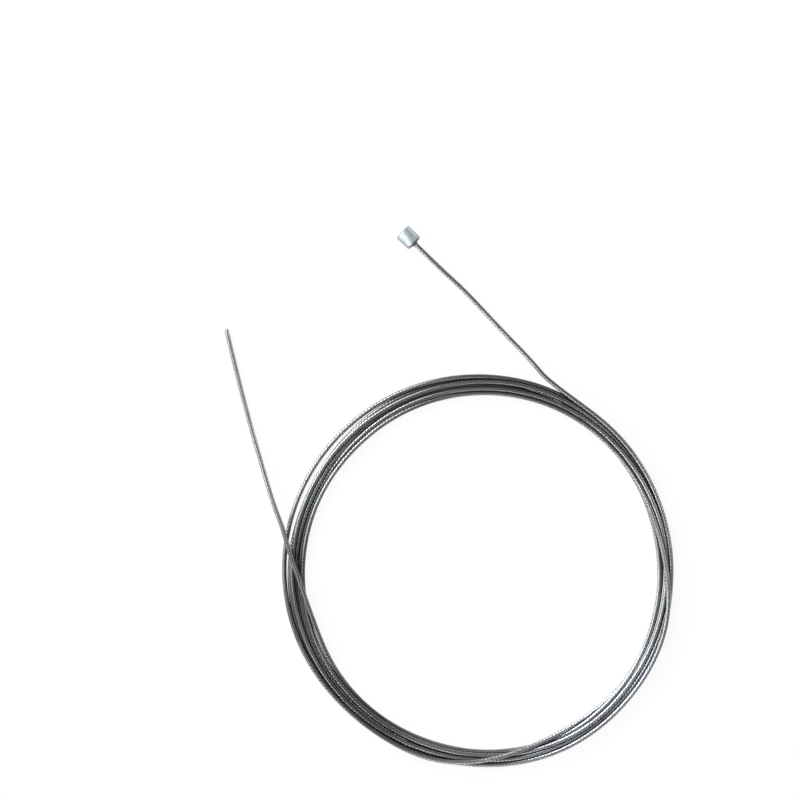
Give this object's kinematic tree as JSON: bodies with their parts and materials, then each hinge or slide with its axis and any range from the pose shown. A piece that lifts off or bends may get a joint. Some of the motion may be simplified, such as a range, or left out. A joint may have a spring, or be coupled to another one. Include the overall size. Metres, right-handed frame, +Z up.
{
  "type": "bicycle gear cable",
  "caption": "Thin steel wire rope with a small cast barrel head on one end and a bare tip on the other, wound into a flat round coil.",
  "frame": {"origin": "on the surface that the coil lies on, under the middle of the whole part's box", "axes": "+Z up, through the coil from the surface; +Y from the coil towards the cast head; +X to the right of the head, where the coil's far side is"},
  "size_m": [0.117, 0.1396, 0.0047],
  "materials": {
    "steel_rope": "bright drawn stainless wire, laid up as a strand",
    "cast_zinc": "satin die-cast zinc"
  },
  "bodies": {
    "root": {"cable_head": "cast_zinc", "head_end": "steel_rope", "cable_coil": "steel_rope", "tail_end": "steel_rope"}
  },
  "joints": []
}
